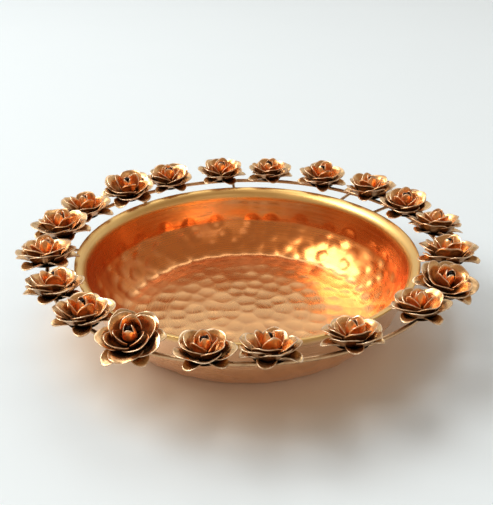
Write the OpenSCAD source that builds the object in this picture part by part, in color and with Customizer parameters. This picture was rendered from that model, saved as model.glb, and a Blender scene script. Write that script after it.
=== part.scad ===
// Hammered urli bowl with a hoop of pressed sheet roses round its rim.
// Millimetres, +Z up. The origin is the middle of the underside, on the table.

/* [Bowl] */
// Radius of the rim, to its outer edge
rim_r = 105; // [102:0.5:107]
// Height of the rim above the table
bowl_h = 43; // [38:0.5:50]
// Radius of the flat underside
base_r = 78; // [70:0.5:84]
// Radius of the inside where the wall turns in towards the floor
bend_r = 94.5; // [92:0.5:95]
// Height of that turn above the table
bend_z = 21; // [17:0.5:24]
// Radius and height of the flare that forms the lip
lip_r = 6.5; // [5:0.5:8]
// Thickness of the bowl's sheet
sheet_t = 1; // [0.8:0.1:1.4]
// How far the lower wall swells beyond a straight slope
belly = 1.8; // [1:0.1:3]

/* [Hoop] */
// Radius of the hoop, to the middle of its wire
hoop_r = 120.7; // [120:0.1:122]
// Diameter of the hoop's wire
wire_d = 2.5; // [2:0.1:3]
// How far the wire's middle lies below the rim
hoop_drop = 1.1; // [0.5:0.1:2]
// Diameter of the short rods that carry the hoop
stay_d = 2.2; // [1.6:0.1:2.8]

/* [Roses] */
// Reach of the calyx lobes on a rose of full size
calyx_r = 18.3; // [17:0.1:18.5]
// Reach of the outer petals on a rose of full size
outer_r = 16.4; // [15:0.1:16.8]
// Reach of the middle petals on a rose of full size
middle_r = 12.4; // [11:0.1:12.8]
// Radius of the crown of three inner petals
crown_r = 7; // [6.4:0.1:7.4]
// Radius of the rolled bud
bud_r = 3.7; // [3:0.1:4]
// Height of the bud's tip above the middle of the wire
bud_top = 17; // [16:0.1:18]
// Thickness of the petals' sheet
petal_t = 0.6; // [0.5:0.05:0.7]
// Diameter of the rivet through each rose
pin_d = 2; // [1.6:0.1:2.4]

/* [Hidden] */
$fn = 96;
rose_count = 20;
pitch = 360 / rose_count;
first_az = 135;

// Hand-set places: each rose is off its even station by a degree or so.
nudge = [-1, 1, 0, 1, 0, -1, 1, 1, 0, 1, 3.5, -1.5, -4, -1, -1.5, 0, 1, 0, -1.5, 1];
// Degrees that each rose leans away from the bowl, and sideways towards the next rose.
lean_out = [-8, -6, -4, -1, -4, 1, -3, 9, -1, 14, -3, -11, -10, 0, 18, -1, -3, -1, 0, 0];
lean_side = [-8, -3, -1, 0, 2, -1, 6, -8, -7, 7, -3, -4, -1, 0, -7, 1, 5, 8, 1, -1];
// Each rose's size, in hundredths of a full-size one.
size_pc = [102, 96, 94, 91, 98, 99, 97, 97, 101, 95, 90, 92, 93, 87, 96, 94, 96, 104, 102, 98];
// Azimuths of the rods between the lip and the hoop.
stay_az = [36, 52, 95, 131, 176, 196, 232, 256, 300, 325, 345];

hoop_z = bowl_h - hoop_drop;
wire_r = wire_d / 2;
wall_top_r = rim_r - lip_r;
lip_z = bowl_h - lip_r;
lip_steps = 8;
belly_steps = 6;

// Heights above the middle of the wire, on a rose of full size.
gap = 0.08;
calyx_z = 2.3;
calyx_rise = 3.1;
outer_z = calyx_z + petal_t + gap;
outer_rise = 10.2;
middle_z = outer_z + petal_t + gap;
middle_rise = 11.9;
crown_z = middle_z + petal_t + gap;
crown_top = 16.4;
bud_z = crown_z + petal_t + gap;
bore_r = pin_d / 2;
collar_r = 2.2;
collar_z = 0.9;
pin_top = bud_top - 0.7;

function two_digits(n) = str(n < 10 ? "0" : "", n);
function rose_az(i) = first_az - pitch * i + nudge[i];
function rose_size(i) = size_pc[i] / 100;
function rose_name(i, layer) = str("rose_", two_digits(i + 1), "_", layer);
function stay_name(i) = str("hoop_stay_", two_digits(i + 1));

// Points on an arc about (cx, cy), from angle a to angle b.
function arc(cx, cy, r, a, b, steps) =
    [for (k = [0:steps]) let (t = a + (b - a) * k / steps) [cx + r * cos(t), cy + r * sin(t)]];

// Points from p to q along a shallow parabola that swells to the right of the way there.
function swell(p, q, depth, steps) =
    let (d = (q - p) / norm(q - p), out = [d[1], -d[0]])
    [for (k = [0:steps]) let (t = k / steps) p + (q - p) * t + out * depth * 4 * t * (1 - t)];

// The path moved sideways by t, to the right of its own direction, with mitred corners.
function beside(path, t) =
    let (
        last = len(path) - 1,
        right = [for (k = [1:last])
            let (d = (path[k] - path[k - 1]) / norm(path[k] - path[k - 1])) [d[1], -d[0]]]
    )
    [for (k = [0:last])
        let (a = right[max(k - 1, 0)], b = right[min(k, last - 1)])
        path[k] + t * (a + b) / (1 + a * b)];

function reversed(list) = [for (k = [len(list) - 1:-1:0]) list[k]];

// Radius of the sphere that rises by rise at the distance reach from its lowest point.
function cup_radius(reach, rise) = (reach * reach + rise * rise) / (2 * rise);

// The bowl's inner face, from the middle of the floor out to the rim.
inner_face = concat(
    [[0, sheet_t]],
    swell([base_r, sheet_t], [bend_r, bend_z], belly, belly_steps),
    arc(rim_r, lip_z, lip_r, 180, 90, lip_steps)
);
outer_face = beside(inner_face, sheet_t);

// Everything that the bowl's outer face encloses.
module bowl_bulk() {
    rotate_extrude() polygon(concat([[0, bowl_h]], [for (p = outer_face) [max(p[0], 0), p[1]]]));
}

module bowl() {
    color([0.80, 0.47, 0.22])
        rotate_extrude() polygon(concat(inner_face, reversed(outer_face)));
}

module hoop_wire() {
    translate([0, 0, hoop_z]) rotate_extrude() translate([hoop_r, 0]) circle(wire_r, $fn = 48);
}

module flower_hoop() {
    color([0.72, 0.50, 0.27]) hoop_wire();
}

// A rod from the underside of the lip out to the hoop, its ends cut to fit both.
module hoop_stay(i) {
    inner_end = rim_r - lip_r / 2;
    inner_z = bowl_h - sheet_t - stay_d;
    run = hoop_r - inner_end;
    slope = atan2(hoop_z - inner_z, run);
    color([0.58, 0.38, 0.20])
        difference() {
            rotate([0, 0, stay_az[i]])
                translate([inner_end, 0, inner_z])
                    rotate([0, 90 - slope, 0])
                        cylinder(h = norm([run, hoop_z - inner_z]), d = stay_d, $fn = 32);
            bowl_bulk();
            hoop_wire();
        }
}

// Stands a rose's parts on the hoop at station i, with its lean and size. One calyx lobe
// points along the hoop to the next rose, and so fits between two lobes of that rose.
module at_seat(i) {
    rotate([0, 0, rose_az(i)])
        translate([hoop_r, 0, hoop_z])
            rotate([0, lean_out[i], 0])
                rotate([lean_side[i], 0, 0])
                    rotate([0, 0, -90])
                        scale(rose_size(i)) children();
}

// A plan of round lobes set about a disc.
module lobes(count, reach, lobe_r, disc_r) {
    circle(disc_r);
    for (k = [0:count - 1])
        rotate(k * 360 / count) translate([reach - lobe_r, 0]) circle(lobe_r, $fn = 48);
}

// One pressed layer: a thin round cup, trimmed to a plan of lobes and bored for the rivet.
module petal_layer(count, reach, rise, z, lobe_r, disc_r, turn) {
    r = cup_radius(reach, rise);
    intersection() {
        translate([0, 0, z + r])
            difference() {
                sphere(r);
                sphere(r - petal_t);
            }
        translate([0, 0, z - petal_t])
            linear_extrude(rise + 2 * petal_t)
                difference() {
                    rotate(turn) lobes(count, reach, lobe_r, disc_r);
                    circle(bore_r, $fn = 32);
                }
    }
}

// A round-bottomed cup with straight sides.
module thimble(r, z, top) {
    translate([0, 0, z + r]) sphere(r);
    translate([0, 0, z + r]) cylinder(h = top - z - r, r = r);
}

// Upright petals: a thimble whose wall is trimmed to round tops.
module petal_crown(count, r, z, top, turn) {
    petal_w = 2 * r * sin(180 / count) * 0.98;
    intersection() {
        difference() {
            thimble(r, z, top + 1);
            thimble(r - petal_t, z + petal_t, top + 2);
            translate([0, 0, z - 1]) cylinder(h = petal_t + 2, r = bore_r, $fn = 32);
        }
        union() {
            translate([0, 0, z]) cylinder(h = r, r = r + 1);
            for (k = [0:count - 1])
                rotate([90, 0, turn + k * 360 / count + 90])
                    linear_extrude(r + 1)
                        union() {
                            translate([0, top - petal_w / 2]) circle(d = petal_w, $fn = 48);
                            translate([-petal_w / 2, z]) square([petal_w, top - petal_w / 2 - z]);
                        }
        }
    }
}

// The calyx and the ring of wide outer petals.
module rose_outer(i) {
    at_seat(i) {
        color([0.55, 0.36, 0.19])
            petal_layer(5, calyx_r, calyx_rise, calyx_z, 5.4, 9.4, 0);
        color([0.68, 0.45, 0.24])
            petal_layer(5, outer_r, outer_rise, outer_z, 7.9, 8, 36);
    }
}

// The steeper middle petals, the crown of three and the rolled bud.
module rose_inner(i) {
    at_seat(i) {
        color([0.74, 0.48, 0.25])
            petal_layer(4, middle_r, middle_rise, middle_z, 6.4, 6, 20);
        color([0.80, 0.46, 0.22])
            petal_crown(3, crown_r, crown_z, crown_top, 75);
        color([0.84, 0.44, 0.20])
            petal_crown(3, bud_r, bud_z, bud_top, 15);
    }
}

// One rivet for each rose: a collar seated on the wire and a shank up through the layers.
module rose_rivets() {
    color([0.45, 0.30, 0.17])
        for (i = [0:rose_count - 1])
            difference() {
                at_seat(i) {
                    translate([0, 0, collar_z])
                        cylinder(h = calyx_z - collar_z, r = collar_r, $fn = 48);
                    translate([0, 0, collar_z])
                        cylinder(h = pin_top - collar_z, r = bore_r, $fn = 32);
                }
                hoop_wire();
            }
}

bowl();
flower_hoop();
rose_rivets();
for (i = [0:len(stay_az) - 1])
    hoop_stay(i);
for (i = [0:rose_count - 1]) {
    rose_outer(i);
    rose_inner(i);
}
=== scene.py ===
"""A hammered metal urli bowl, ringed by a wire hoop of pressed sheet roses.

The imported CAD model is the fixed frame. Each sub-assembly takes its place and its main sizes
from the CAD nodes that it stands for, and adds the detail of the real piece: hammer marks,
curled petals, brazed joints and worn metal finishes. Lengths are in metres, unless a name ends
in _mm or a class says that its lengths are in millimetres.
"""

import logging
import math
from dataclasses import dataclass
from enum import Enum

import bpy
import numpy as np
from mathutils import Matrix, Vector


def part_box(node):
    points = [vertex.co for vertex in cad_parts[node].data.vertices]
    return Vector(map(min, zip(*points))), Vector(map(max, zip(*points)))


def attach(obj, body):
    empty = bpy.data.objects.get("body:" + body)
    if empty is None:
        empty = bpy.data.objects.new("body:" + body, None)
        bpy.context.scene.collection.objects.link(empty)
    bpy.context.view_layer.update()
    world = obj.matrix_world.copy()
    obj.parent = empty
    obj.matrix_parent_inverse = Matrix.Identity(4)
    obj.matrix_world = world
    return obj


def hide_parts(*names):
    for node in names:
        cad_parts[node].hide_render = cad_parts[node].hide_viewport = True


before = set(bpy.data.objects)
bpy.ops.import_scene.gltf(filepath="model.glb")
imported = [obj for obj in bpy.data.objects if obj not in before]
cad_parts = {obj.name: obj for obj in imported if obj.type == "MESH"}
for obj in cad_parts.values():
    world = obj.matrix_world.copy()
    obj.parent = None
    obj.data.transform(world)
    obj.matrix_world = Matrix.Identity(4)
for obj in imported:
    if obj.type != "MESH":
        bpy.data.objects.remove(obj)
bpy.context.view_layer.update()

LOG = logging.getLogger("urli")
MM = 0.001
BODY = "root"
Colour = tuple[float, float, float]
Socket = bpy.types.NodeSocket


class Slot(Enum):
    """Names of the material slots, one for each finish."""

    BOWL = "hammered_bowl"
    WIRE = "hoop_wire"
    RIVET = "rivet_metal"
    OUTER = "outer_petals"
    INNER = "inner_petals"


class Ends(Enum):
    """How a loft of rings is closed."""

    JOINED = "the last ring meets the first"
    CAPPED = "a fan closes each end"


# ------------------------------------------------------------------ shape helpers


def smoothstep(low: float, high: float, x: np.ndarray) -> np.ndarray:
    """Rises smoothly from 0 at low to 1 at high.

    Args:
        low: Where the rise starts.
        high: Where the rise ends.
        x: Any values.

    Returns:
        The risen values, in the shape of x.
    """
    t = np.clip((np.asarray(x, float) - low) / (high - low), 0.0, 1.0)
    return t * t * (3 - 2 * t)


def unit(vectors: np.ndarray) -> np.ndarray:
    """Scales vectors to length one along their last axis."""
    return vectors / np.maximum(np.linalg.norm(vectors, axis=-1, keepdims=True), 1e-12)


def ripple(points: np.ndarray, wavelength: float, rng: np.random.Generator,
           waves: int = 9) -> np.ndarray:
    """Gives smooth random undulation through space.

    Args:
        points: Places to read it, with coordinates along the last axis.
        wavelength: The typical distance from crest to crest, in the units of points.
        rng: The source of the random waves.
        waves: How many plane waves are summed.

    Returns:
        Values of about -1 to 1, one for each point.
    """
    total = np.zeros(points.shape[:-1])
    for _ in range(waves):
        heading = unit(rng.normal(size=3))
        pace = 2 * np.pi / (wavelength * rng.uniform(0.7, 1.5))
        total += np.sin(points @ heading * pace + rng.uniform(0, 2 * np.pi))
    return total / math.sqrt(waves)


def node_points(name: str) -> np.ndarray:
    """Reads the vertices of a CAD node.

    Args:
        name: The node's name.

    Returns:
        One point a row, in metres.
    """
    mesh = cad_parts[name].data
    found = np.empty(len(mesh.vertices) * 3, np.float32)
    mesh.vertices.foreach_get("co", found)
    return found.reshape(-1, 3).astype(float)


def nodes_named(start: str, end: str = "") -> list[str]:
    """Lists the CAD nodes whose names start and end so, in order."""
    return sorted(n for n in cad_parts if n.startswith(start) and n.endswith(end))


class MeshBuilder:
    """Gathers closed shapes and a few numbers on their points, and makes one object.

    EDGE_BULGE is how far a sheet's edge rounds outward, as a share of its thickness.
    """

    EDGE_BULGE = 0.42

    def __init__(self) -> None:
        """Starts empty."""
        self.points: list[np.ndarray] = []
        self.faces: list[list[int]] = []
        self.values: dict[str, list[np.ndarray]] = {}
        self.count = 0

    def add(self, points: np.ndarray, faces: list[np.ndarray],
            values: dict[str, np.ndarray]) -> None:
        """Adds one closed shape, with its faces turned outward.

        Args:
            points: One point a row.
            faces: Arrays of faces with equal corners, numbered from the first point here.
            values: A number for each point, under the name of a mesh attribute.
        """
        volume = 0.0
        for group in faces:
            a = points[group[:, 0]]
            for i in range(1, group.shape[1] - 1):
                b, c = points[group[:, i]], points[group[:, i + 1]]
                volume += float((a * np.cross(b, c)).sum())
        for group in faces:
            turned = group if volume > 0 else group[:, ::-1]
            self.faces.extend((turned + self.count).tolist())
        self.points.append(points)
        for name in set(self.values) | set(values):
            missing = [np.zeros(self.count)] if self.count else []
            self.values.setdefault(name, missing)
            self.values[name].append(np.asarray(values.get(name, np.zeros(len(points)))))
        self.count += len(points)

    def add_loft(self, rings: np.ndarray, ends: Ends, **values: np.ndarray) -> None:
        """Adds the skin over a row of closed rings.

        Args:
            rings: Points as rings by points round each ring by 3.
            ends: How the row of rings is closed.
            **values: Grids of rings by points, or what broadcasts to one.
        """
        count, sides = rings.shape[:2]
        points = rings.reshape(-1, 3)
        stored = {n: np.broadcast_to(v, (count, sides)) for n, v in values.items()}
        steps = count if ends is Ends.JOINED else count - 1
        first = np.arange(steps)[:, None] * sides
        second = (np.arange(steps)[:, None] + 1) % count * sides
        k = np.arange(sides)[None, :]
        k_next = (k + 1) % sides
        quads = np.stack([first + k, first + k_next, second + k_next, second + k], -1)
        faces = [quads.reshape(-1, 4)]
        flat = {n: v.reshape(-1) for n, v in stored.items()}
        if ends is Ends.CAPPED:
            around, ahead = np.arange(sides), (np.arange(sides) + 1) % sides
            start, stop = count * sides, count * sides + 1
            last = (count - 1) * sides
            faces.append(np.stack([ahead, around, np.full(sides, start)], -1))
            faces.append(np.stack([last + around, last + ahead, np.full(sides, stop)], -1))
            points = np.concatenate([points, rings[0].mean(0)[None], rings[-1].mean(0)[None]])
            flat = {n: np.append(flat[n], [v[0].mean(), v[-1].mean()])
                    for n, v in stored.items()}
        self.add(points, faces, flat)

    def add_tube(self, path: np.ndarray, radii: np.ndarray, sides: int, ends: Ends,
                 **values: np.ndarray) -> None:
        """Adds a round tube along a path.

        Args:
            path: Points along its middle.
            radii: Its radius at each point.
            sides: How many points go round it.
            ends: Whether the path closes on itself or ends in caps.
            **values: Numbers along the path.
        """
        if ends is Ends.JOINED:
            ahead = unit(np.roll(path, -1, 0) - np.roll(path, 1, 0))
        else:
            ahead = unit(np.gradient(path, axis=0))
        across = unit(np.cross(ahead, [0.0, 0.0, 1.0]))
        up = np.cross(across, ahead)
        turn = np.arange(sides)[None, :, None] * 2 * np.pi / sides
        ring = across[:, None] * np.cos(turn) + up[:, None] * np.sin(turn)
        rings = path[:, None] + ring * np.broadcast_to(radii, len(path))[:, None, None]
        columns = {n: np.broadcast_to(v, len(path))[:, None] for n, v in values.items()}
        self.add_loft(rings, ends, **columns)

    def add_sheet(self, grid: np.ndarray, thickness: float, **values: np.ndarray) -> None:
        """Adds a thin closed sheet with a rounded edge, from a grid of mid-surface points.

        Args:
            grid: Points as rows by columns, rows by columns turning towards the inside face.
            thickness: The sheet's thickness.
            **values: Grids of numbers. The name side is stored as well: 0 inside, 1 outside.
        """
        rows, cols = grid.shape[:2]
        normal = unit(np.cross(np.gradient(grid, axis=0), np.gradient(grid, axis=1)))
        index = np.arange(rows * cols).reshape(rows, cols)
        edge = np.concatenate([index[0], index[1:, -1], index[-1, -2::-1], index[-2:0:-1, 0]])
        flat, flat_normal = grid.reshape(-1, 3), normal.reshape(-1, 3)
        along = unit(np.roll(flat[edge], -1, 0) - np.roll(flat[edge], 1, 0))
        outward = np.cross(flat_normal[edge], along)
        points = np.concatenate([
            flat + flat_normal * thickness / 2,
            flat - flat_normal * thickness / 2,
            flat[edge] + outward * thickness * self.EDGE_BULGE,
        ])
        n = rows * cols
        quads = np.stack([index[:-1, :-1], index[1:, :-1], index[1:, 1:], index[:-1, 1:]], -1)
        quads = quads.reshape(-1, 4)
        rim = 2 * n + np.arange(len(edge))
        edge_next, rim_next = np.roll(edge, -1), np.roll(rim, -1)
        upper = np.stack([edge, edge_next, rim_next, rim], -1)
        lower = np.stack([edge + n, rim, rim_next, edge_next + n], -1)
        side = np.full(len(points), 0.5)
        side[:n], side[n:2 * n] = 0.0, 1.0
        stored = {"side": side}
        for name, numbers in values.items():
            column = np.broadcast_to(numbers, (rows, cols)).reshape(-1)
            stored[name] = np.concatenate([column, column, column[edge]])
        self.add(points, [quads, quads[:, ::-1] + n, upper, lower], stored)

    def to_object(self, name: str, material: bpy.types.Material) -> bpy.types.Object:
        """Makes a smooth-shaded object from what was added.

        Args:
            name: The object's name.
            material: The finish that it wears.

        Returns:
            The new object, linked to the scene.
        """
        mesh = bpy.data.meshes.new(name)
        mesh.from_pydata(np.concatenate(self.points).tolist(), [], self.faces)
        mesh.shade_smooth()
        for key, numbers in self.values.items():
            attribute = mesh.attributes.new(key, "FLOAT", "POINT")
            attribute.data.foreach_set("value", np.concatenate(numbers).astype(np.float32))
        mesh.materials.append(material)
        mesh.validate()
        made = bpy.data.objects.new(name, mesh)
        bpy.context.scene.collection.objects.link(made)
        return made


def seat_piece(piece: bpy.types.Object, slot: Slot, *nodes: str) -> None:
    """Puts a piece on the frame, in place of the CAD nodes that it stands for.

    Args:
        piece: The finished object.
        slot: Not used.
        *nodes: Names of the CAD nodes.
    """
    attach(piece, BODY)
    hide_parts(*nodes)
    shown = nodes[0] if len(nodes) == 1 else f"{nodes[0]} to {nodes[-1]}"
    LOG.info("%s: %d faces, for %s", piece.name, len(piece.data.polygons), shown)


# ------------------------------------------------------------------ finishes


class Graph:
    """A material's node tree, built with short calls."""

    def __init__(self, name: str) -> None:
        """Starts a material with only its Principled shader and output.

        Args:
            name: The material's name.
        """
        self.material = bpy.data.materials.new(name)
        self.material.use_nodes = True
        self.nodes = self.material.node_tree.nodes
        self.links = self.material.node_tree.links
        self.shader = self.nodes["Principled BSDF"]

    def plug(self, socket: Socket, value: object) -> None:
        """Links a socket to another, or sets its value.

        Args:
            socket: The input.
            value: An output socket, a number, or a colour.
        """
        if isinstance(value, bpy.types.NodeSocket):
            self.links.new(value, socket)
        elif isinstance(value, tuple) and socket.type == "RGBA":
            socket.default_value = (*value, 1.0)
        else:
            socket.default_value = value

    def attribute(self, name: str) -> Socket:
        """Gives the number that the mesh stores under a name.

        Args:
            name: The attribute's name.

        Returns:
            The number.
        """
        node = self.nodes.new("ShaderNodeAttribute")
        node.attribute_name = name
        return node.outputs["Fac"]

    def place(self) -> Socket:
        """Gives the point being shaded, in the object's own frame."""
        return self.nodes.new("ShaderNodeTexCoord").outputs["Object"]

    def turned(self, place: Socket, across: float, up: float) -> Socket:
        """Makes coordinates that run in rings about the upright axis, for lathe marks.

        Args:
            place: The point being shaded.
            across: How finely the marks lie along the radius.
            up: How finely they lie along the height.

        Returns:
            The coordinates.
        """
        flat = self.nodes.new("ShaderNodeVectorMath")
        flat.operation = "MULTIPLY"
        self.plug(flat.inputs[0], place)
        flat.inputs[1].default_value = (1.0, 1.0, 0.0)
        radius = self.nodes.new("ShaderNodeVectorMath")
        radius.operation = "LENGTH"
        self.plug(radius.inputs[0], flat.outputs["Vector"])
        parts = self.nodes.new("ShaderNodeSeparateXYZ")
        self.plug(parts.inputs[0], place)
        joined = self.nodes.new("ShaderNodeCombineXYZ")
        self.plug(joined.inputs[0], self.maths("MULTIPLY", radius.outputs["Value"], across))
        self.plug(joined.inputs[1], self.maths("MULTIPLY", parts.outputs["Z"], up))
        return joined.outputs[0]

    def noise(self, vector: Socket, scale: float, detail: float = 3.0,
              roughness: float = 0.5) -> Socket:
        """Makes cloudy noise.

        Args:
            vector: Where to read the noise.
            scale: How fine it is.
            detail: How many finer layers it has.
            roughness: How strong the finer layers are.

        Returns:
            The noise, about 0.5 on average.
        """
        node = self.nodes.new("ShaderNodeTexNoise")
        self.plug(node.inputs["Vector"], vector)
        node.inputs["Scale"].default_value = scale
        node.inputs["Detail"].default_value = detail
        node.inputs["Roughness"].default_value = roughness
        return node.outputs["Fac"]

    def maths(self, operation: str, a: object, b: object = 0.0) -> Socket:
        """Joins two numbers by an operation.

        Args:
            operation: Blender's name for it.
            a: A socket or number.
            b: A socket or number.

        Returns:
            The result.
        """
        node = self.nodes.new("ShaderNodeMath")
        node.operation = operation
        self.plug(node.inputs[0], a)
        self.plug(node.inputs[1], b)
        return node.outputs[0]

    def spread(self, value: Socket, low: float, high: float, to_low: float,
               to_high: float) -> Socket:
        """Moves a number smoothly from one range to another, held within the second.

        Args:
            value: The number.
            low: The start of its range.
            high: The end of its range.
            to_low: What low becomes.
            to_high: What high becomes.

        Returns:
            The moved number.
        """
        node = self.nodes.new("ShaderNodeMapRange")
        node.interpolation_type = "SMOOTHSTEP"
        self.plug(node.inputs["Value"], value)
        node.inputs["From Min"].default_value = low
        node.inputs["From Max"].default_value = high
        node.inputs["To Min"].default_value = to_low
        node.inputs["To Max"].default_value = to_high
        return node.outputs["Result"]

    def mix(self, share: object, a: object, b: object) -> Socket:
        """Blends one colour into another.

        Args:
            share: How much of b shows, from 0 to 1.
            a: A colour or socket.
            b: A colour or socket.

        Returns:
            The blended colour.
        """
        node = self.nodes.new("ShaderNodeMix")
        node.data_type = "RGBA"
        self.plug(node.inputs[0], share)
        self.plug(node.inputs[6], a)
        self.plug(node.inputs[7], b)
        return node.outputs[2]

    def bump(self, height: Socket, depth_mm: float) -> None:
        """Roughens the surface by a height.

        Args:
            height: The height, from 0 to 1.
            depth_mm: The distance from trough to crest.
        """
        node = self.nodes.new("ShaderNodeBump")
        node.inputs["Distance"].default_value = depth_mm * MM
        self.plug(node.inputs["Height"], height)
        self.plug(self.shader.inputs["Normal"], node.outputs["Normal"])

    def finish(self, **sockets: object) -> bpy.types.Material:
        """Sets the shader's sockets and gives the finished material.

        Args:
            **sockets: Values or links, under the sockets' names with _ for each space.

        Returns:
            The material.
        """
        for name, value in sockets.items():
            self.plug(self.shader.inputs[name.replace("_", " ")], value)
        return self.material


@dataclass(frozen=True)
class SpunCopper:
    """The bowl's finish: lacquered copper-gold sheet, spun at the lip and hammered below. The
    floor's gold and the hammered band's deep copper are painted reflections, standing in for
    reflections in water and between the walls.
    """

    wall: Colour = (0.95, 0.42, 0.15)
    # Painted reflection: the floor's gold stands in for reflections in the water.
    floor: Colour = (0.92, 0.49, 0.20)
    # Painted reflection: the band's deeper copper stands in for reflections in the water and
    # between the walls.
    band: Colour = (0.86, 0.29, 0.07)
    lip: Colour = (0.94, 0.60, 0.20)
    outside: Colour = (0.94, 0.60, 0.37)
    tarnish: Colour = (0.46, 0.20, 0.08)
    wall_roughness: float = 0.18
    lip_roughness: float = 0.36
    band_extra_roughness: float = 0.11
    cloud_scale: float = 26.0
    grain_scale: float = 420.0
    lathe_scale: float = 900.0
    relief_mm: float = 0.02

    def build(self) -> bpy.types.Material:
        """Makes the material from the mesh's lip, floor, band, outside and dent numbers.

        Returns:
            The material.
        """
        g = Graph("spun_copper")
        place = g.place()
        lip, floor, dent = g.attribute("lip"), g.attribute("floor"), g.attribute("dent")
        cloud = g.noise(place, self.cloud_scale, 4.0)
        grain = g.noise(place, self.grain_scale, 2.0)
        lathe = g.turned(place, self.lathe_scale, self.lathe_scale)
        rings = g.noise(lathe, 1.0, 3.0, 0.6)
        # The band's and the floor's colours are painted reflections.
        base = g.mix(g.attribute("band"), self.wall, self.band)
        base = g.mix(floor, base, self.floor)
        base = g.mix(g.attribute("outside"), base, self.outside)
        base = g.mix(lip, base, self.lip)
        base = g.mix(g.spread(cloud, 0.52, 0.8, 0.0, 0.3), base, self.tarnish)
        base = g.mix(g.spread(dent, 0.3, 1.0, 0.12, 0.0), base, self.tarnish)
        rough = g.spread(lip, 0.0, 1.0, self.wall_roughness, self.lip_roughness)
        hammered = g.maths("MULTIPLY", g.attribute("band"), self.band_extra_roughness)
        rough = g.maths("ADD", rough, hammered)
        rough = g.maths("ADD", rough, g.spread(rings, 0.3, 0.7, -0.05, 0.06))
        rough = g.maths("ADD", rough, g.spread(cloud, 0.4, 0.7, -0.02, 0.08))
        relief = g.maths("ADD", g.maths("MULTIPLY", rings, 0.7), g.maths("MULTIPLY", grain, 0.3))
        g.bump(relief, self.relief_mm)
        return g.finish(Base_Color=base, Roughness=rough, Metallic=1.0, Coat_Weight=0.25,
                        Coat_Roughness=0.12)


@dataclass(frozen=True)
class PetalMetal:
    """A petal's finish: satin copper with random tarnish, painted shade in the folds and partly
    on the backs, painted bounce light in the heart, and pale edges that are partly wear and
    partly painted highlight.
    """

    name: str
    inside: Colour
    # The darker back colour is partly the finish's antique brown, partly painted shade on the
    # petals' undersides.
    outside: Colour
    # Painted bounce light: this orange stands in for light thrown between the heart's petals.
    bounce_orange: Colour = (0.95, 0.40, 0.13)
    # Pale edge colour: partly wear, partly painted highlight on the rolled rims.
    edge: Colour = (0.95, 0.71, 0.48)
    # Near-black brown: real tarnish where the cloud noise lays it, painted shade where the depth
    # number lays it.
    patina_and_fold_shade: Colour = (0.045, 0.022, 0.011)
    roughness: float = 0.31
    cloud_scale: float = 240.0
    grain_scale: float = 1500.0
    relief_mm: float = 0.04

    def build(self) -> bpy.types.Material:
        """Makes the material from the mesh's side, edge, depth and bounce-light numbers.

        Returns:
            The material.
        """
        g = Graph(self.name)
        place = g.place()
        side, edge, depth = g.attribute("side"), g.attribute("edge"), g.attribute("depth")
        cloud = g.noise(place, self.cloud_scale, 4.0, 0.6)
        grain = g.noise(place, self.grain_scale, 2.0)
        # The backs are darker: partly antique brown, partly painted shade on the petals'
        # undersides.
        base = g.mix(side, self.inside, self.outside)
        # Painted bounce light warms each petal by its bounce-light number.
        base = g.mix(g.attribute("warmth"), base, self.bounce_orange)
        base = g.mix(g.spread(cloud, 0.48, 0.75, 0.0, 0.6), base, self.patina_and_fold_shade)
        # Painted shade: darkens each petal towards its foot, in the folds.
        base = g.mix(g.spread(depth, 0.12, 0.8, 0.0, 0.95), base, self.patina_and_fold_shade)
        # Pale edges: partly wear, partly painted highlight where the rims catch the light.
        rubbed_edge_sheen = g.maths("MULTIPLY", g.spread(edge, 0.5, 0.95, 0.0, 1.0),
                       g.spread(cloud, 0.38, 0.6, 1.0, 0.3))
        base = g.mix(rubbed_edge_sheen, base, self.edge)
        rough = g.spread(cloud, 0.35, 0.7, self.roughness - 0.06, self.roughness + 0.12)
        rough = g.maths("ADD", rough, g.maths("MULTIPLY", side, 0.06))
        relief = g.maths("ADD", g.maths("MULTIPLY", cloud, 0.8), g.maths("MULTIPLY", grain, 0.2))
        g.bump(relief, self.relief_mm)
        return g.finish(Base_Color=base, Roughness=rough, Metallic=1.0)


@dataclass(frozen=True)
class DrawnWire:
    """The hoop's and stays' finish: drawn wire, dulled by heat round the brazed joints."""

    wire: Colour = (0.62, 0.38, 0.20)
    scale: Colour = (0.12, 0.065, 0.035)
    roughness: float = 0.3
    cloud_scale: float = 180.0
    grain_scale: float = 1200.0
    relief_mm: float = 0.06

    def build(self) -> bpy.types.Material:
        """Makes the material from the mesh's heat number.

        Returns:
            The material.
        """
        g = Graph("drawn_wire")
        place = g.place()
        cloud = g.noise(place, self.cloud_scale, 4.0, 0.6)
        grain = g.noise(place, self.grain_scale, 2.0)
        heat = g.maths("MULTIPLY", g.attribute("heat"), g.spread(cloud, 0.3, 0.6, 0.5, 1.0))
        base = g.mix(g.spread(cloud, 0.5, 0.75, 0.0, 0.4), self.wire, self.scale)
        base = g.mix(heat, base, self.scale)
        rough = g.spread(cloud, 0.3, 0.7, self.roughness - 0.08, self.roughness + 0.18)
        g.bump(grain, self.relief_mm)
        return g.finish(Base_Color=base, Roughness=rough, Metallic=1.0)


@dataclass(frozen=True)
class RivetMetal:
    """The rivets' finish: brown below and near black at the upset end, partly blackened metal and
    partly painted shade of the dark hole at the bud's top.
    """

    shank: Colour = (0.42, 0.26, 0.14)
    # Near black: partly blackened metal, partly painted shade of the hole at the bud's top.
    tip: Colour = (0.012, 0.009, 0.008)
    cloud_scale: float = 700.0
    relief_mm: float = 0.06

    def build(self) -> bpy.types.Material:
        """Makes the material from the mesh's tip number.

        Returns:
            The material.
        """
        g = Graph("rivet_metal")
        cloud = g.noise(g.place(), self.cloud_scale, 3.0)
        base = g.mix(g.attribute("tip"), self.shank, self.tip)
        base = g.mix(g.spread(cloud, 0.55, 0.75, 0.0, 0.5), base, self.tip)
        g.bump(cloud, self.relief_mm)
        return g.finish(Base_Color=base, Roughness=g.spread(cloud, 0.3, 0.7, 0.35, 0.6),
                        Metallic=1.0)


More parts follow.
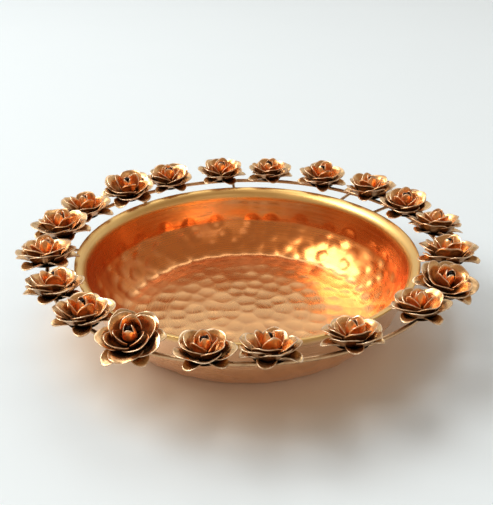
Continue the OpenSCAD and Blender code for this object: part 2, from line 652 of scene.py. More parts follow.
@dataclass(frozen=True)
class PaleTable:
    """The pale surface under the bowl, with the metal's warm light painted round the foot."""

    tint: Colour = (0.80, 0.875, 0.905)
    shade: Colour = (0.67, 0.76, 0.79)
    glow: Colour = (0.95, 0.82, 0.66)
    glow_share: float = 0.9
    glow_reach: tuple[float, float] = (0.09, 0.15)
    cloud_scale: float = 6.0

    def build(self) -> bpy.types.Material:
        """Makes the material.

        Returns:
            The material.
        """
        g = Graph("pale_table")
        cloud = g.noise(g.place(), self.cloud_scale, 3.0)
        tint = g.mix(g.spread(cloud, 0.3, 0.7, 0.0, 0.04), self.tint, self.shade)
        away = g.nodes.new("ShaderNodeVectorMath")
        away.operation = "LENGTH"
        g.plug(away.inputs[0], g.place())
        lit = g.spread(away.outputs["Value"], *self.glow_reach, self.glow_share, 0.0)
        tint = g.mix(lit, tint, self.glow)
        return g.finish(Base_Color=tint, Roughness=0.32)


# ------------------------------------------------------------------ the bowl


@dataclass(frozen=True)
class DentRow:
    """One row of hammer marks round the bowl, in millimetres."""

    along: float
    pitch: float
    radius: float
    depth: float
    wander: float = 0.405


@dataclass(frozen=True)
class Wave:
    """A slow random undulation of the sheet, in millimetres."""

    length: float
    height: float

    def over(self, points: np.ndarray, rng: np.random.Generator) -> np.ndarray:
        """Gives the wave's height at each point."""
        return ripple(points, self.length, rng) * self.height


@dataclass
class Bowl:
    """The spun bowl: flat hammered floor, hammered lower wall, smooth wall and flared lip.

    All lengths are in millimetres. A field that ends in _fade holds the two distances along
    the section between which a finish or a movement goes from 0 to 1. Those of the lip count
    back from the rim.
    """

    finish: SpunCopper
    base_r_mm: float = 78.0
    bend_r_mm: float = 94.5
    bend_z_mm: float = 21.0
    lip_r_mm: float = 6.5
    sheet_mm: float = 1.0
    belly_mm: float = 1.8
    edge_mm: float = 0.45
    foot_ease_mm: float = 2.6
    wall_ease_mm: float = 0.55
    foot_reach_mm: float = 9.0
    segments: int = 384
    seed: int = 11
    floor_pitch_mm: float = 11.4
    size_jitter: tuple[float, float] = (0.86, 1.15)
    depth_jitter: tuple[float, float] = (0.7, 1.25)
    foot_rise_mm: float = 0.3
    outer_sway: float = 0.8
    outer_depth: float = 0.75
    hammered_end_mm: float = 108.0
    lip_fade: tuple[float, float] = (12.0, 8.0)
    floor_fade: tuple[float, float] = (84.0, 74.0)
    band_fade: tuple[float, float] = (108.0, 104.0)
    beaten_fade: tuple[float, float] = (113.0, 104.0)
    resting_fade: tuple[float, float] = (80.5, 77.0)
    centre_fade: tuple[float, float] = (0.0, 6.0)
    beaten_waves: tuple[Wave, Wave] = (Wave(34.0, 0.16), Wave(15.0, 0.07))
    smooth_wave: Wave = Wave(24.0, 0.07)
    wall_rows: tuple[DentRow, ...] = (
        DentRow(along=86.5, pitch=17.0, radius=5.6, depth=0.62),
        DentRow(along=95.0, pitch=17.5, radius=5.6, depth=0.62),
        DentRow(along=104.2, pitch=20.5, radius=6.0, depth=0.70),
    )

    def inner_line(self) -> tuple[np.ndarray, np.ndarray, np.ndarray]:
        """Draws the inner face's section with its corners eased.

        Returns:
            Distances along the section, its points as radius and height, and its unit
            normals into the bowl, all in millimetres.
        """
        rim_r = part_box("bowl")[1][0] / MM
        rim_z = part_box("bowl")[1][2] / MM
        low = np.array([self.base_r_mm, self.sheet_mm])
        high = np.array([self.bend_r_mm, self.bend_z_mm])
        chord = unit(high - low)
        t = np.linspace(0, 1, 40)[:, None]
        swell = np.array([chord[1], -chord[0]]) * self.belly_mm * 4 * t * (1 - t)
        wall = low + (high - low) * t + swell
        turn = np.radians(np.linspace(180, 90, 60))
        lip = np.stack([rim_r - self.edge_mm + self.lip_r_mm * np.cos(turn),
                        rim_z - self.lip_r_mm + self.lip_r_mm * np.sin(turn)], -1)
        rough = np.concatenate([[[0.0, self.sheet_mm]], wall, lip])
        gone = np.append(0, np.cumsum(np.linalg.norm(np.diff(rough, axis=0), axis=1)))
        step = 0.1
        s = np.arange(0, gone[-1], step)
        line = np.stack([np.interp(s, gone, rough[:, 0]), np.interp(s, gone, rough[:, 1])], -1)
        foot = np.exp(-(((s - self.base_r_mm) / self.foot_reach_mm) ** 2))[:, None]
        eased = self.eased(line, self.foot_ease_mm / step) * foot
        eased = eased + self.eased(line, self.wall_ease_mm / step) * (1 - foot)
        eased[:, 0] -= eased[0, 0]
        way = unit(np.gradient(eased, axis=0))
        return s, eased, np.stack([-way[:, 1], way[:, 0]], -1)

    @staticmethod
    def eased(line: np.ndarray, spread: float) -> np.ndarray:
        """Rounds the corners of a line.

        Args:
            line: Points at equal steps.
            spread: How many steps the rounding reaches.

        Returns:
            The rounded line.
        """
        reach = int(spread * 3) + 1
        weight = np.exp(-0.5 * (np.arange(-reach, reach + 1) / spread) ** 2)
        weight /= weight.sum()
        padded = np.concatenate([2 * line[0] - line[reach:0:-1], line,
                                 2 * line[-1] - line[-2:-reach - 2:-1]])
        return np.stack([np.convolve(padded[:, i], weight, "valid") for i in (0, 1)], -1)

    def ring_places(self, end: float) -> np.ndarray:
        """Chooses where the rings of the mesh lie along the section.

        Args:
            end: The section's length.

        Returns:
            Distances along the section, close together where it is hammered or bends.
        """
        foot, lip = 70.0, end - 11.5
        last_row = self.wall_rows[-1].along
        below, above = last_row - 1.5, last_row + 3.0
        return np.concatenate([
            np.arange(0.7, foot, 1.25), np.arange(foot, below, 1.0),
            np.arange(below, above, 0.5), np.arange(above, lip, 1.4), np.linspace(lip, end, 18),
        ])

    def dents(self, s: np.ndarray, line: np.ndarray) -> tuple[np.ndarray, np.ndarray]:
        """Sets out the hammer marks.

        Args:
            s: Distances along the section.
            line: The section.

        Returns:
            Each mark's middle in space, and its radius and depth, in millimetres.
        """
        rng = np.random.default_rng(self.seed)
        rings = np.arange(0, self.base_r_mm - 4, self.floor_pitch_mm)
        rows = [DentRow(along=r, pitch=self.floor_pitch_mm, radius=5.9, depth=0.44, wander=1.08)
                for r in rings]
        rows.append(DentRow(along=self.base_r_mm - 0.5, pitch=13.5, radius=5.8, depth=0.55))
        middles, sizes = [], []
        for row in (*rows, *self.wall_rows):
            radius = float(np.interp(row.along, s, line[:, 0]))
            count = max(1, round(2 * math.pi * radius / row.pitch))
            start = rng.uniform(0, 2 * math.pi)
            for k in range(count):
                along = row.along + rng.normal(0, row.wander)
                r = float(np.interp(along, s, line[:, 0]))
                z = float(np.interp(along, s, line[:, 1]))
                turn = start + 2 * math.pi * (k + rng.normal(0, 0.10)) / count
                middles.append((r * math.cos(turn), r * math.sin(turn), z))
                sizes.append((row.radius * rng.uniform(*self.size_jitter),
                              row.depth * rng.uniform(*self.depth_jitter)))
        return np.array(middles), np.array(sizes)

    def hammered(self, points: np.ndarray, s: np.ndarray, line: np.ndarray) -> np.ndarray:
        """Finds how deeply the hammer has sunk the sheet.

        Args:
            points: Points on the smooth inner face.
            s: Distances along the section.
            line: The section.

        Returns:
            The depth at each point, in millimetres.
        """
        middles, sizes = self.dents(s, line)
        flat = points.reshape(-1, 3)
        depth = np.zeros(len(flat))
        for middle, (radius, deep) in zip(middles, sizes):
            near = np.flatnonzero(np.abs(flat - middle).max(1) < radius * 1.25)
            away = np.linalg.norm(flat[near] - middle, axis=1) / radius
            sunk = deep * (1 - away ** 2)
            eased = 0.5 * (sunk + np.sqrt(sunk ** 2 + 0.005)) * smoothstep(1.25, 1.0, away)
            depth[near] = np.maximum(depth[near], eased)
        return depth.reshape(points.shape[:-1])

    def spin(self) -> np.ndarray:
        """Gives the directions of the mesh's points about the axis, one x and y a row."""
        turn = np.arange(self.segments) * 2 * np.pi / self.segments
        return np.stack([np.cos(turn), np.sin(turn)], -1)

    def swept(self, section: np.ndarray) -> np.ndarray:
        """Turns a section about the axis.

        Args:
            section: A radius and a height for each ring.

        Returns:
            Points as rings by points round each ring by 3.
        """
        flat = section[:, None, :1] * self.spin()[None]
        high = np.broadcast_to(section[:, None, 1:], (*flat.shape[:2], 1))
        return np.concatenate([flat, high], -1)

    def sway(self, smooth: np.ndarray, places: np.ndarray, lip: np.ndarray,
             rng: np.random.Generator) -> np.ndarray:
        """Finds how far the sheet strays inward from a true shape.

        Args:
            smooth: Points on the smooth inner face.
            places: Each ring's distance along the section, as a column.
            lip: How far each ring belongs to the lip, as a column.
            rng: The source of the waves.

        Returns:
            The distance at each point, in millimetres.
        """
        beaten = smoothstep(*self.beaten_fade, places)
        wide, narrow = (wave.over(smooth, rng) for wave in self.beaten_waves)
        upright = self.smooth_wave.over(smooth * [1, 1, 0.15], rng)
        strayed = (wide + narrow) * beaten + upright * (1 - beaten) * (1 - lip)
        return strayed * smoothstep(*self.centre_fade, places)

    def outer_face(self, faired: np.ndarray, depth: np.ndarray, places: np.ndarray) -> np.ndarray:
        """Flattens the outer face where the bowl rests on the table.

        Args:
            faired: The outer face before it is flattened.
            depth: How deeply the hammer has sunk each point.
            places: Each ring's distance along the section, as a column.

        Returns:
            The outer face, which touches the table under the deepest marks.
        """
        outer = faired.copy()
        under = self.foot_rise_mm * (1 - np.clip(depth / 0.5, 0, 1))
        resting = smoothstep(*self.resting_fade, places)
        outer[..., 2] = outer[..., 2] * (1 - resting) + under * resting
        outer[..., 2] = np.maximum(outer[..., 2], 0.0)
        return outer

    def rim_bead(self, top: np.ndarray, bottom: np.ndarray) -> np.ndarray:
        """Rounds the sheet's edge at the rim.

        Args:
            top: The last ring of the inner face.
            bottom: The last ring of the outer face.

        Returns:
            The rings between them.
        """
        middle = (top + bottom) / 2
        half = np.linalg.norm(top - bottom, axis=1)[:, None] / 2
        out = np.concatenate([self.spin(), np.zeros((self.segments, 1))], -1)
        return np.stack([middle + half * (out * math.cos(a) * 0.9 + [0, 0, math.sin(a)])
                         for a in np.radians([60, 30, 0, -30, -60])])

    def build(self) -> None:
        """Makes the bowl and seats it."""
        rng = np.random.default_rng(self.seed + 1)
        s, line, normal = self.inner_line()
        end = float(s[-1])
        places = self.ring_places(end)
        ring = np.stack([np.interp(places, s, line[:, i]) for i in (0, 1)], -1)
        facing = unit(np.stack([np.interp(places, s, normal[:, i]) for i in (0, 1)], -1))
        smooth, inward = self.swept(ring), self.swept(facing)
        depth = self.hammered(smooth, s, line)
        places = places[:, None]
        lip = smoothstep(end - self.lip_fade[0], end - self.lip_fade[1], places)
        sway = self.sway(smooth, places, lip, rng)
        inner = smooth + inward * (sway - depth)[..., None]
        moved = sway * self.outer_sway - depth * self.outer_depth - self.sheet_mm
        faired = smooth + inward * moved[..., None]
        outer = self.outer_face(faired, depth, places)
        bead = self.rim_bead(inner[-1], outer[-1])
        ridge = np.where(places < self.hammered_end_mm, 1 - np.clip(depth / 0.35, 0, 1), 0.0)

        def whole(values: np.ndarray) -> np.ndarray:
            """Carries a number from the inner face over the rim and down the outer one."""
            full = np.broadcast_to(values, depth.shape)
            return np.concatenate([full, np.repeat(full[-1:], len(bead), 0), full[::-1]])

        outside = np.repeat([0.0, 0.5, 1.0], [len(places), len(bead), len(places)])[:, None]
        builder = MeshBuilder()
        # The band and floor numbers lay down the painted reflections of the hammered band and the
        # floor; band also roughens the band.
        builder.add_loft(
            np.concatenate([inner, bead, outer[::-1]]) * MM, Ends.CAPPED, lip=whole(lip),
            floor=whole(smoothstep(*self.floor_fade, places)),
            band=whole(smoothstep(*self.band_fade, places)), outside=outside, dent=whole(ridge))
        seat_piece(builder.to_object("hammered_urli", self.finish.build()), Slot.BOWL, "bowl")


# ------------------------------------------------------------------ hoop, stays, rivets


@dataclass
class FlowerHoop:
    """The wire hoop under the roses."""

    material: bpy.types.Material
    stay_turns: list[float]
    segments: int = 420
    sides: int = 16
    seed: int = 23
    bend_mm: float = 0.08
    bend_length_mm: float = 120.0
    unevenness: float = 0.02
    uneven_length_mm: float = 20.0
    heat_share: float = 0.7
    heat_fade_mm: tuple[float, float] = (7.0, 1.5)
    fillet_mm: float = 1.6
    fillet_swell: float = 0.10

    def build(self) -> None:
        """Makes the hoop and seats it."""
        rng = np.random.default_rng(self.seed)
        low, high = (np.array(c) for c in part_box("flower_hoop"))
        wire_r = (high[2] - low[2]) / 2
        ring_r = (high[0] - low[0]) / 2 - wire_r
        turn = np.arange(self.segments) * 2 * np.pi / self.segments
        path = np.stack([np.cos(turn) * ring_r, np.sin(turn) * ring_r,
                         np.full(self.segments, (low[2] + high[2]) / 2)], -1)
        bend = ripple(path, self.bend_length_mm * MM, rng) * self.bend_mm * MM
        path[:, :2] *= 1 + bend[:, None] / ring_r
        radii = wire_r * (1 + self.unevenness * ripple(path, self.uneven_length_mm * MM, rng))
        heat = np.zeros(self.segments)
        for stay in self.stay_turns:
            away = np.abs((turn - stay + np.pi) % (2 * np.pi) - np.pi) * ring_r / MM
            heat = np.maximum(heat, smoothstep(*self.heat_fade_mm, away))
            radii = radii * (1 + self.fillet_swell * np.exp(-((away / self.fillet_mm) ** 2)))
        builder = MeshBuilder()
        builder.add_tube(path, radii, self.sides, Ends.JOINED, heat=heat * self.heat_share)
        piece = builder.to_object("wire_hoop", self.material)
        seat_piece(piece, Slot.WIRE, "flower_hoop")


@dataclass
class HoopStay:
    """One short rod from the lip out to the hoop, with its brazed ends."""

    node: str
    material: bpy.types.Material
    sides: int = 14
    steps: int = 26
    radius_mm: float = 1.02
    end_mm: float = 0.4
    extra_mm: float = 1.0
    fillet_mm: float = 1.1
    fillet_swell: float = 0.35
    unevenness: float = 0.03
    uneven_length_mm: float = 4.0
    heat_mm: float = 2.2
    heat_share: float = 0.9

    def ends(self) -> tuple[np.ndarray, np.ndarray]:
        """Finds the middles of the rod's two ends.

        Returns:
            The bowl's end, then the hoop's.
        """
        points = node_points(self.node)
        middle = (points.min(0) + points.max(0)) / 2
        out = unit(np.array([middle[0], middle[1], 0.0]))
        reach = points[:, :2] @ out[:2]
        inner = points[reach < reach.min() + self.end_mm * MM].mean(0)
        outer = points[reach > reach.max() - self.end_mm * MM].mean(0)
        return inner, outer

    def turn(self) -> float:
        """Gives the rod's angle about the bowl's axis."""
        _, outer = self.ends()
        return math.atan2(outer[1], outer[0])

    def build(self) -> None:
        """Makes the rod and seats it."""
        inner, outer = self.ends()
        # The rod's own place seeds its unevenness, so that the rods differ.
        middle = node_points(self.node).mean(0)
        rng = np.random.default_rng(int(abs(middle[0]) / MM * 10))
        out = unit(np.array([outer[0], outer[1], 0.0]))
        length = float((outer - inner) @ out)
        t = np.linspace(0, 1, self.steps)
        path = inner + (outer - inner) * t[:, None]
        path = path + out * ((t[:, None] - 0.5) * self.extra_mm * MM)
        from_end = np.minimum(t, 1 - t) * length / MM
        swell = self.fillet_swell * np.exp(-((from_end / self.fillet_mm) ** 2))
        radii = self.radius_mm * MM * (1 + swell)
        radii = radii * (1 + self.unevenness * ripple(path, self.uneven_length_mm * MM, rng))
        heat = np.exp(-((from_end / self.heat_mm) ** 2))
        builder = MeshBuilder()
        builder.add_tube(path, radii, self.sides, Ends.CAPPED, heat=heat * self.heat_share)
        piece = builder.to_object(self.node.replace("hoop_stay", "brazed_stay"), self.material)
        seat_piece(piece, Slot.WIRE, self.node)


# ------------------------------------------------------------------ roses


@dataclass(frozen=True)
class RoseSeat:
    """Where one rose sits: its wire point, its axes as columns, and its size.

    FULL_REACH_MM is the reach of a full-size calyx and LOWEST_MM the height of its lowest
    point above the wire's middle. TIP_SHARE is the share of the reach from which a point
    counts as part of a lobe's tip.
    """

    start: np.ndarray
    axes: np.ndarray
    size: float

    FULL_REACH_MM = 18.3
    LOWEST_MM = 2.309
    TIP_SHARE = 0.985
    LOBES = 5

    @classmethod
    def of(cls, node: str) -> "RoseSeat":
        """Reads a seat from the CAD's outer petals, which are alike about their axis.

        Args:
            node: The name of the CAD node.

        Returns:
            The seat.
        """
        points = node_points(node)
        middle = points.mean(0)
        _, ways = np.linalg.eigh(np.cov((points - middle).T))
        axis = ways[:, 0] * np.sign(ways[2, 0])
        away = points - middle
        height = away @ axis
        flat = away - np.outer(height, axis)
        reach = np.linalg.norm(flat, axis=1)
        size = float(reach.max()) / MM / cls.FULL_REACH_MM
        first = unit(np.cross([0.0, 1.0, 0.0], axis))
        second = np.cross(axis, first)
        tips = reach > reach.max() * cls.TIP_SHARE
        turns = np.arctan2(flat[tips] @ second, flat[tips] @ first)
        phase = np.angle(np.exp(1j * cls.LOBES * turns).mean()) / cls.LOBES
        x = first * math.cos(phase) + second * math.sin(phase)
        axes = np.stack([x, np.cross(axis, x), axis], -1)
        start = middle + axis * (height.min() - cls.LOWEST_MM * size * MM)
        return cls(start, axes, size)

    def place(self, points_mm: np.ndarray) -> np.ndarray:
        """Moves points from the rose's own frame, in millimetres at full size, to the scene's."""
        return self.start + (points_mm * self.size * MM) @ self.axes.T


@dataclass(frozen=True)
class PetalRing:
    """One layer of equal petals about a rose's axis, in millimetres at full size.

    A field that ends in _jitter is the standard deviation from petal to petal, in degrees
    for the tip's slope and the ring's turn, in radians for a petal's own turn, and otherwise
    as a share.
    """

    count: int
    foot: tuple[float, float]
    tip: tuple[float, float]
    foot_slope: float
    tip_slope: float
    width: float
    waist: float
    wrap: float
    curl: float
    lap: float
    # The share of painted bounce light, the orange that stands in for light thrown between the
    # petals.
    warmth: float
    point: float = 0.0
    turn: float = 0.0
    grid: int = 13
    thickness: float = 0.5
    arm: float = 0.42
    wave: float = 0.18
    ruffle: float = 0.035
    slope_jitter: float = 5.0
    reach_jitter: float = 0.035
    rise_jitter: float = 0.03
    width_jitter: float = 0.05
    bounce_light_jitter: float = 0.07
    petal_turn_jitter: float = 0.05
    ring_turn_jitter: float = 3.0

    def blank(self, rng: np.random.Generator) -> tuple[np.ndarray, ...]:
        """Cuts the flat blank of one petal.

        Args:
            rng: The source of its small differences.

        Returns:
            Grids over the petal: where it lies across, from -1 to 1, and along, from -1 at
            the foot to 1 at the tip, how near the edge it is, and how near the tip.
        """
        a, b = np.meshgrid(np.linspace(-1, 1, self.grid), np.linspace(-1, 1, self.grid))
        across = a * np.sqrt(1 - 0.45 * b ** 2)
        along = b * np.sqrt(1 - 0.45 * a ** 2)
        edge = np.clip((a ** 6 + b ** 6) ** (1 / 6), 0, 1)
        upper = smoothstep(-0.2, 0.6, along)
        along = along + self.point * (1 - np.abs(across)) * smoothstep(0.3, 1.0, along)
        wavy = np.sin(across * rng.uniform(3, 6) + rng.uniform(0, 6))
        return across, along + self.ruffle * wavy * upper, edge, upper

    def spine(self, t: np.ndarray, rng: np.random.Generator) -> tuple[np.ndarray, np.ndarray]:
        """Bends one petal's middle line from its foot to its tip.

        Args:
            t: Places along it, from 0 to 1.
            rng: The source of its small differences.

        Returns:
            Its points as radius and height, and its unit direction at each.
        """
        foot_slope = math.radians(self.foot_slope)
        tip_slope = math.radians(self.tip_slope + rng.normal(0, self.slope_jitter))
        grown = 1 + rng.normal(0, self.reach_jitter)
        raised = 1 + rng.normal(0, self.rise_jitter)
        p0 = np.array(self.foot)
        p3 = np.array([self.tip[0] * grown, self.tip[1] * raised])
        arm = self.arm * np.linalg.norm(p3 - p0)
        p1 = p0 + arm * np.array([math.cos(foot_slope), math.sin(foot_slope)])
        p2 = p3 - arm * np.array([math.cos(tip_slope), math.sin(tip_slope)])
        t = t[..., None]
        u = 1 - t
        points = u ** 3 * p0 + 3 * t * u ** 2 * p1 + 3 * t ** 2 * u * p2 + t ** 3 * p3
        way = 3 * u ** 2 * (p1 - p0) + 6 * t * u * (p2 - p1) + 3 * t ** 2 * (p3 - p2)
        return points, unit(way)

    def petal(self, angle: float, rng: np.random.Generator) -> tuple[np.ndarray, ...]:
        """Shapes one petal.

        Args:
            angle: Its direction about the axis, in radians.
            rng: The source of its small differences.

        Returns:
            Its grid of points, then grids of its edge and depth numbers.
        """
        across, along, edge, upper = self.blank(rng)
        middle, way = self.spine((along + 1) / 2, rng)
        inner = np.stack([-way[..., 1], way[..., 0]], -1)

        half = self.width / 2 * (1 + rng.normal(0, self.width_jitter))
        half = half * (self.waist + (1 - self.waist) * smoothstep(-1.0, 0.25, along))
        wrap = self.wrap * rng.uniform(0.9, 1.15)
        side = wrap * np.sin(across * half / wrap)
        lift = wrap * (1 - np.cos(across * half / wrap))
        rolled = self.curl * rng.uniform(0.6, 1.3) * smoothstep(0.55, 1.0, edge) ** 1.6 * upper
        rolled = rolled * (1 - 0.35 * np.abs(across))
        lap = self.lap * across * smoothstep(-1.2, 0.2, along)
        wave = self.wave * np.sin(2.2 * across + rng.uniform(0, 6)) * upper
        section = middle + inner * (lift - rolled + lap + wave)[..., None]
        section = section - way * (rolled * 0.35)[..., None]

        turn = angle + rng.normal(0, self.petal_turn_jitter)
        out = np.array([math.cos(turn), math.sin(turn), 0.0])
        beside = np.array([-math.sin(turn), math.cos(turn), 0.0])
        grid = section[..., :1] * out + side[..., None] * beside
        grid[..., 2] += section[..., 1]
        # Painted shade: depth is 1 at a petal's foot and 0 from three quarters of its length on.
        depth = smoothstep(0.75, 0.0, (along + 1) / 2)
        return grid, edge, depth

    def build(self, builder: MeshBuilder, seat: RoseSeat, rng: np.random.Generator) -> None:
        """Adds the layer's petals.

        Args:
            builder: The mesh that they join.
            seat: The rose's place.
            rng: The source of their small differences.
        """
        start = math.radians(self.turn + rng.normal(0, self.ring_turn_jitter))
        for k in range(self.count):
            grid, edge, depth = self.petal(start + k * 2 * math.pi / self.count, rng)
            # Painted bounce light: each petal's share of the orange.
            warmth = np.clip(self.warmth + rng.normal(0, self.bounce_light_jitter), 0, 1)
            # The edge number marks the pale rims: partly wear, partly painted highlight.
            builder.add_sheet(seat.place(grid), self.thickness * seat.size * MM,
                              edge=edge ** 8, depth=depth, warmth=np.full(edge.shape, warmth))


@dataclass(frozen=True)
class Calyx:
    """The lowest layer: a dished washer with five round, spooned lobes."""

    lobes: PetalRing = PetalRing(
        count=5, foot=(4.0, 2.7), tip=(18.3, 5.2), foot_slope=14, tip_slope=0, width=11.2,
        waist=0.62, wrap=7.5, curl=0.35, lap=0.0, warmth=0.0, grid=13)
    washer_r: float = 8.8
    bore_r: float = 1.1
    bottom: float = 2.36
    dish: float = 0.009
    thickness: float = 0.5
    sides: int = 60

    def build(self, builder: MeshBuilder, seat: RoseSeat, rng: np.random.Generator) -> None:
        """Adds the washer and its lobes.

        Args:
            builder: The mesh that they join.
            seat: The rose's place.
            rng: The source of the lobes' small differences.
        """
        turn = np.arange(self.sides) * 2 * np.pi / self.sides
        r = np.concatenate([np.linspace(self.bore_r, self.washer_r, 9), [self.washer_r + 0.2],
                            np.linspace(self.washer_r, self.bore_r, 9)])
        layer = np.repeat([1.0, 0.5, 0.0], [9, 1, 9])
        z = self.bottom + self.dish * r ** 2 + layer * self.thickness
        rings = np.stack([r[:, None] * np.cos(turn), r[:, None] * np.sin(turn),
                          np.repeat(z[:, None], self.sides, 1)], -1)
        # Painted shade: the washer under the petals gets a high depth number, so it is darkened
        # almost to black.
        builder.add_loft(seat.place(rings), Ends.JOINED, side=np.ones((1, 1)),
                         depth=np.full((1, 1), 0.8))
        self.lobes.build(builder, seat, rng)


@dataclass
class Rose:
    """One rose: calyx and outer petals, then middle petals, crown and bud."""

    number: int
    seat: RoseSeat
    outer_metal: bpy.types.Material
    inner_metal: bpy.types.Material
    seed: int = 100
    calyx: Calyx = Calyx()
    outer: PetalRing = PetalRing(
        count=5, foot=(1.3, 3.2), tip=(16.2, 13.2), foot_slope=0, tip_slope=58, width=21.5,
        waist=0.42, wrap=11.4, curl=2.3, lap=0.9, warmth=0.0, turn=36, grid=15)
    middle: PetalRing = PetalRing(
        count=4, foot=(1.3, 4.1), tip=(12.5, 15.4), foot_slope=5, tip_slope=74, width=19.2,
        waist=0.4, wrap=9.0, curl=1.8, lap=0.8, warmth=0.12, turn=20, grid=15)
    crown: PetalRing = PetalRing(
        count=3, foot=(1.3, 5.0), tip=(7.4, 16.2), foot_slope=22, tip_slope=86, width=12.8,
        waist=0.45, wrap=6.2, curl=0.9, lap=0.5, warmth=0.6, point=0.10, turn=75)
    bud: PetalRing = PetalRing(
        count=3, foot=(1.2, 5.6), tip=(2.3, 16.4), foot_slope=50, tip_slope=108, width=7.6,
        waist=0.6, wrap=3.5, curl=0.1, lap=0.35, warmth=0.95, point=0.12, turn=15, grid=11)

    def build(self) -> None:
        """Makes the rose's two pieces and seats them."""
        rng = np.random.default_rng(self.seed + self.number)
        below, above = MeshBuilder(), MeshBuilder()
        self.calyx.build(below, self.seat, rng)
        self.outer.build(below, self.seat, rng)
        for ring in (self.middle, self.crown, self.bud):
            ring.build(above, self.seat, rng)
        name = f"rose_{self.number:02d}"
        outer = below.to_object(f"{name}_open_petals", self.outer_metal)
        seat_piece(outer, Slot.OUTER, f"{name}_outer")
        inner = above.to_object(f"{name}_heart", self.inner_metal)
        seat_piece(inner, Slot.INNER, f"{name}_inner")


@dataclass
class RoseRivets:
    """The rivets up through the roses: a collar on the wire, a shank and a dark upset end."""

    material: bpy.types.Material
    seats: list[RoseSeat]
    collar_r_mm: float = 2.1
    shank_r_mm: float = 0.9
    head_r_mm: float = 1.35
    top_mm: float = 16.8
    sides: int = 20

    def build(self) -> None:
        """Makes all the rivets as one piece and seats it."""
        top = self.top_mm
        # Radius, height and share of the dark tip (blackened metal and painted shade) at each
        # point, from the collar up.
        section = np.array([
            (0.6, 1.0, 0), (1.5, 0.95, 0),
            (self.collar_r_mm, 1.2, 0), (self.collar_r_mm, 2.0, 0), (1.7, 2.28, 0),
            (self.shank_r_mm, 2.32, 0), (self.shank_r_mm, 6.0, 0),
            (self.shank_r_mm, top - 3.0, 0.3), (1.0, top - 1.4, 0.9),
            (self.head_r_mm, top - 0.9, 1), (self.head_r_mm, top - 0.35, 1),
            (0.95, top - 0.05, 1), (0.45, top - 0.12, 1),
        ])
        turn = np.arange(self.sides) * 2 * np.pi / self.sides
        rings = np.stack([section[:, :1] * np.cos(turn), section[:, :1] * np.sin(turn),
                          np.repeat(section[:, 1:2], self.sides, 1)], -1)
        builder = MeshBuilder()
        for seat in self.seats:
            builder.add_loft(seat.place(rings), Ends.CAPPED, tip=section[:, 2:])
        piece = builder.to_object("rivets", self.material)
        seat_piece(piece, Slot.RIVET, "rose_rivets")


# ------------------------------------------------------------------ studio


@dataclass(frozen=True)
class SoftLight:
    """One soft lamp, aimed at a point in the bowl."""

    name: str
    place: tuple[float, float, float]
    size: tuple[float, float]
    watts: float
    colour: Colour = (1.0, 1.0, 1.0)
    aim: tuple[float, float, float] = (0.0, 0.0, 0.03)

    def build(self) -> None:
        """Adds the lamp."""
        data = bpy.data.lights.new(self.name, "AREA")
        data.shape = "RECTANGLE"
        data.size, data.size_y = self.size
        data.energy = self.watts
        data.color = self.colour
        lamp = bpy.data.objects.new(self.name, data)
        lamp.location = self.place
        ahead = Vector(self.aim) - Vector(self.place)
        lamp.rotation_euler = ahead.to_track_quat("-Z", "Y").to_euler()
        bpy.context.scene.collection.objects.link(lamp)


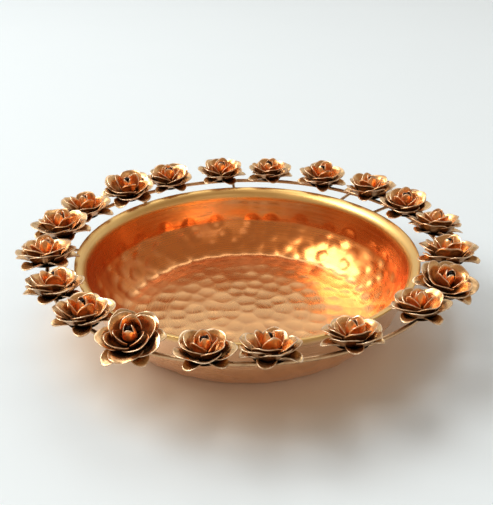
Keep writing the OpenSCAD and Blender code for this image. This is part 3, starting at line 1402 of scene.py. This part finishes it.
@dataclass
class Studio:
    """The pale table, the sky light, the lamps and the camera."""

    distance: float = 0.5025
    drop_degrees: float = 26.46
    roll: float = 0.006
    lens_mm: float = 58.1
    sensor_mm: float = 36.0
    aim_mm: tuple[float, float] = (-0.5, -1.0)
    sky_behind: Colour = (0.72, 0.74, 0.74)
    sky_low: Colour = (0.52, 0.56, 0.57)
    sky_above: Colour = (0.36, 0.27, 0.20)
    behind_turn: tuple[float, float] = (0.05, 0.6)
    low_turn: tuple[float, float] = (0.42, 0.12)
    table_radius: float = 4.0
    table_sides: int = 96
    lamps: tuple[SoftLight, ...] = (
        SoftLight("key", (-1.9, 0.45, 2.05), (1.8, 1.8), 68.0, (0.98, 0.995, 1.0)),
        SoftLight("back", (-0.1, 0.95, 1.7), (1.5, 0.7), 4.0, (1.0, 1.0, 1.0)),
        SoftLight("front", (0.8, -1.7, 1.3), (0.8, 0.8), 1.5, (0.97, 0.99, 1.0)),
    )

    def camera(self) -> None:
        """Adds the camera, aimed at the middle of the rim."""
        drop = math.radians(self.drop_degrees)
        rim = Vector((0, 0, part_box("bowl")[1][2]))
        ahead = Vector((0, math.cos(drop), -math.sin(drop)))
        right = Vector((1, 0, 0))
        up = right.cross(ahead)
        place = rim - ahead * self.distance
        target = rim + right * self.aim_mm[0] * MM + up * self.aim_mm[1] * MM
        ahead = (target - place).normalized()
        right = (right - up * self.roll).normalized()
        right = (right - ahead * right.dot(ahead)).normalized()
        up = right.cross(ahead)
        data = bpy.data.cameras.new("camera")
        data.sensor_width = self.sensor_mm
        data.lens = self.lens_mm
        data.clip_start = 0.01
        made = bpy.data.objects.new("camera", data)
        turn = Matrix((right, up, -ahead)).transposed().to_4x4()
        made.matrix_world = Matrix.Translation(place) @ turn
        bpy.context.scene.collection.objects.link(made)
        bpy.context.scene.camera = made

    def sky(self) -> None:
        """Adds the room light: pale beyond the table and low down, warm and dimmer overhead."""
        world = bpy.data.worlds.new("room")
        world.use_nodes = True
        nodes, links = world.node_tree.nodes, world.node_tree.links
        parts = nodes.new("ShaderNodeSeparateXYZ")
        links.new(nodes.new("ShaderNodeTexCoord").outputs["Generated"], parts.inputs[0])

        def fade(axis: str, start: float, end: float) -> Socket:
            """Gives a share that grows from 0 to 1 as the view direction turns along an axis.

            Args:
                axis: The axis, X, Y or Z.
                start: The direction's part along it where the share is 0.
                end: The direction's part along it where the share is 1.

            Returns:
                The share.
            """
            share = nodes.new("ShaderNodeMapRange")
            share.interpolation_type = "SMOOTHSTEP"
            share.inputs["From Min"].default_value = start
            share.inputs["From Max"].default_value = end
            links.new(parts.outputs[axis], share.inputs["Value"])
            return share.outputs["Result"]

        def blend(share: Socket, under: Socket | Colour, over: Colour) -> Socket:
            """Lays a colour over another.

            Args:
                share: How much of the upper colour shows.
                under: The lower colour.
                over: The upper colour.

            Returns:
                The blended colour.
            """
            mix = nodes.new("ShaderNodeMix")
            mix.data_type = "RGBA"
            links.new(share, mix.inputs[0])
            if isinstance(under, tuple):
                mix.inputs[6].default_value = (*under, 1.0)
            else:
                links.new(under, mix.inputs[6])
            mix.inputs[7].default_value = (*over, 1.0)
            return mix.outputs[2]

        around = blend(fade("Z", *self.low_turn), self.sky_above, self.sky_low)
        whole = blend(fade("Y", *self.behind_turn), around, self.sky_behind)
        links.new(whole, nodes["Background"].inputs["Color"])
        bpy.context.scene.world = world

    def table(self) -> None:
        """Adds the round table top."""
        mesh = bpy.data.meshes.new("table")
        turn = np.arange(self.table_sides) * 2 * np.pi / self.table_sides
        rim = np.stack([np.cos(turn), np.sin(turn), np.zeros_like(turn)], -1) * self.table_radius
        mesh.from_pydata(rim.tolist(), [], [list(range(self.table_sides))])
        mesh.materials.append(PaleTable().build())
        made = bpy.data.objects.new("table", mesh)
        bpy.context.scene.collection.objects.link(made)

    def build(self) -> None:
        """Makes the whole studio."""
        self.sky()
        view = bpy.context.scene.view_settings
        view.view_transform = "Standard"
        self.table()
        self.camera()
        for lamp in self.lamps:
            lamp.build()
        LOG.info("studio: %d lamps", len(self.lamps))


# ------------------------------------------------------------------ making it


def main() -> None:
    """Builds every sub-assembly in order, then the studio."""
    logging.basicConfig(level=logging.INFO, format="%(name)s: %(message)s")
    Bowl(finish=SpunCopper()).build()
    wire = DrawnWire().build()
    stays = [HoopStay(node, wire) for node in nodes_named("hoop_stay_")]
    FlowerHoop(wire, [stay.turn() for stay in stays]).build()
    for stay in stays:
        stay.build()
    outer = PetalMetal("outer_petal_metal", (0.78, 0.50, 0.24), (0.44, 0.25, 0.12)).build()
    # The heart's inside colour is a little more orange: partly painted bounce light.
    inner = PetalMetal("inner_petal_metal", (0.84, 0.47, 0.19), (0.48, 0.25, 0.11)).build()
    seats = [RoseSeat.of(node) for node in nodes_named("rose_", "_outer")]
    for number, seat in enumerate(seats, 1):
        Rose(number, seat, outer, inner).build()
    RoseRivets(RivetMetal().build(), seats).build()
    Studio().build()


if __name__ == "__main__":
    main()
